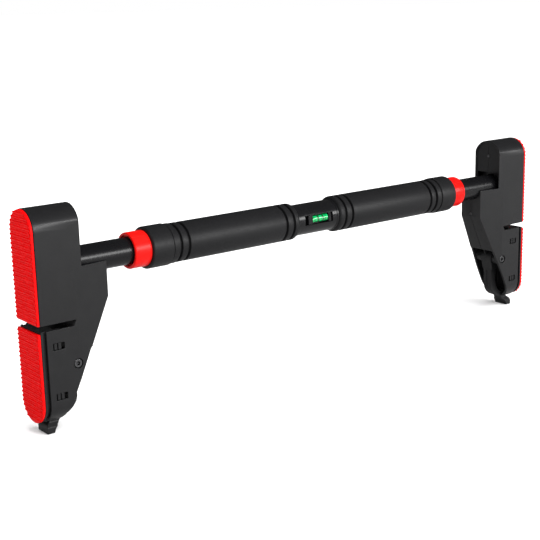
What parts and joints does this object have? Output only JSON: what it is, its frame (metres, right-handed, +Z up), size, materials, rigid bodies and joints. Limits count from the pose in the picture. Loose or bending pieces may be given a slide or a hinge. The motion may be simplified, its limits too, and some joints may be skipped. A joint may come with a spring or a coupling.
{
  "type": "pull up bar",
  "caption": "Telescopic doorway pull up bar with foam grips, a spirit level, red collars and two end brackets with ribbed pads and cam levers.",
  "frame": {"origin": "middle of the bar in plan, on the floor that the two lever feet stand on", "axes": "+X along the bar, -Y is the front with the bolt heads, +Z up"},
  "size_m": [0.75, 0.0458, 0.2343],
  "materials": {
    "housing_black": "satin moulded charcoal plastic, fine spark texture",
    "lever_black": "satin moulded black plastic",
    "pad_rubber": "red rubber with fine slanting ribs and a smooth border",
    "collar_red": "glossy moulded red plastic",
    "painted_steel": "gloss black powder coat",
    "plain_steel": "zinc plated",
    "dark_screw": "black oxide",
    "grip_foam": "matte closed-cell foam, faint sheen",
    "gloss_black": "glossy moulded black plastic",
    "anchor_black": "moulded black plastic",
    "vial_green": "clear vial with green liquid",
    "nut_plastic": "natural acetal"
  },
  "bodies": {
    "left_arm": {"left_front_shell": "housing_black", "left_rear_shell": "housing_black", "left_upper_pad": "pad_rubber", "left_pivot_bolt": "dark_screw", "left_pivot_nut": "plain_steel", "left_back_plate": "plain_steel", "left_inner_tube": "painted_steel", "left_drive_nut": "nut_plastic", "left_shell_screw_top": "dark_screw", "left_shell_screw_ledge": "dark_screw", "left_shell_screw_slot": "dark_screw", "left_face_screw_neck": "dark_screw", "left_face_screw_body": "dark_screw"},
    "left_carrier": {"left_pad_carrier": "lever_black", "left_lower_pad": "pad_rubber"},
    "left_lever": {"left_cam_lever": "lever_black", "left_pivot_bush": "plain_steel"},
    "left_collar": {"left_collar": "collar_red"},
    "right_arm": {"right_front_shell": "housing_black", "right_rear_shell": "housing_black", "right_upper_pad": "pad_rubber", "right_pivot_bolt": "dark_screw", "right_pivot_nut": "plain_steel", "right_back_plate": "plain_steel", "right_inner_tube": "painted_steel", "right_drive_nut": "nut_plastic", "right_shell_screw_top": "dark_screw", "right_shell_screw_ledge": "dark_screw", "right_shell_screw_slot": "dark_screw", "right_face_screw_neck": "dark_screw", "right_face_screw_body": "dark_screw"},
    "right_carrier": {"right_pad_carrier": "lever_black", "right_lower_pad": "pad_rubber"},
    "right_lever": {"right_cam_lever": "lever_black", "right_pivot_bush": "plain_steel"},
    "right_collar": {"right_collar": "collar_red"},
    "bar": {"centre_tube": "painted_steel", "level_sleeve": "gloss_black", "screw_anchor": "anchor_black", "level_vial": "vial_green", "left_grip": "grip_foam", "left_lead_screw": "plain_steel", "left_screw_pin": "plain_steel", "left_vial_cap": "gloss_black", "right_grip": "grip_foam", "right_lead_screw": "plain_steel", "right_screw_pin": "plain_steel", "right_vial_cap": "gloss_black"}
  },
  "joints": [
    {"name": "left_lever_turn", "type": "hinge", "parent": "left_arm", "child": "left_lever", "pos_m": [-0.331, 0, 0.0718], "axis": [0, -1, 0], "range_deg": [0, 60]},
    {"name": "left_pad_retract", "type": "slide", "parent": "left_arm", "child": "left_carrier", "axis": [1, 0, 0], "range_m": [0, 0.0031]},
    {"name": "right_lever_turn", "type": "hinge", "parent": "right_arm", "child": "right_lever", "pos_m": [0.331, 0, 0.0718], "axis": [0, 1, 0], "range_deg": [0, 60]},
    {"name": "right_pad_retract", "type": "slide", "parent": "right_arm", "child": "right_carrier", "axis": [-1, 0, 0], "range_m": [0, 0.0031]},
    {"name": "left_collar_slide", "type": "slide", "parent": "left_arm", "child": "left_collar", "axis": [1, 0, 0], "range_m": [0, 0.0901]},
    {"name": "bar_spin", "type": "hinge", "parent": "left_collar", "child": "bar", "pos_m": [0, 0, 0.1733], "axis": [1, 0, 0], "range_deg": [0, 5400]},
    {"name": "right_collar_turn", "type": "hinge", "parent": "bar", "child": "right_collar", "pos_m": [0, 0, 0.1733], "axis": [1, 0, 0], "range_deg": [-5401, 0]},
    {"name": "right_arm_slide", "type": "slide", "parent": "right_collar", "child": "right_arm", "axis": [1, 0, 0], "range_m": [0, 0.0901]}
  ],
  "couplings": [
    {"joint": "left_pad_retract", "follows": "left_lever_turn", "m_per_rad": 0.0028648},
    {"joint": "right_pad_retract", "follows": "right_lever_turn", "m_per_rad": 0.0028648},
    {"joint": "left_collar_slide", "follows": "bar_spin", "m_per_rad": 0.00095493},
    {"joint": "right_collar_turn", "follows": "bar_spin", "ratio": -1},
    {"joint": "right_arm_slide", "follows": "bar_spin", "m_per_rad": 0.00095493}
  ]
}
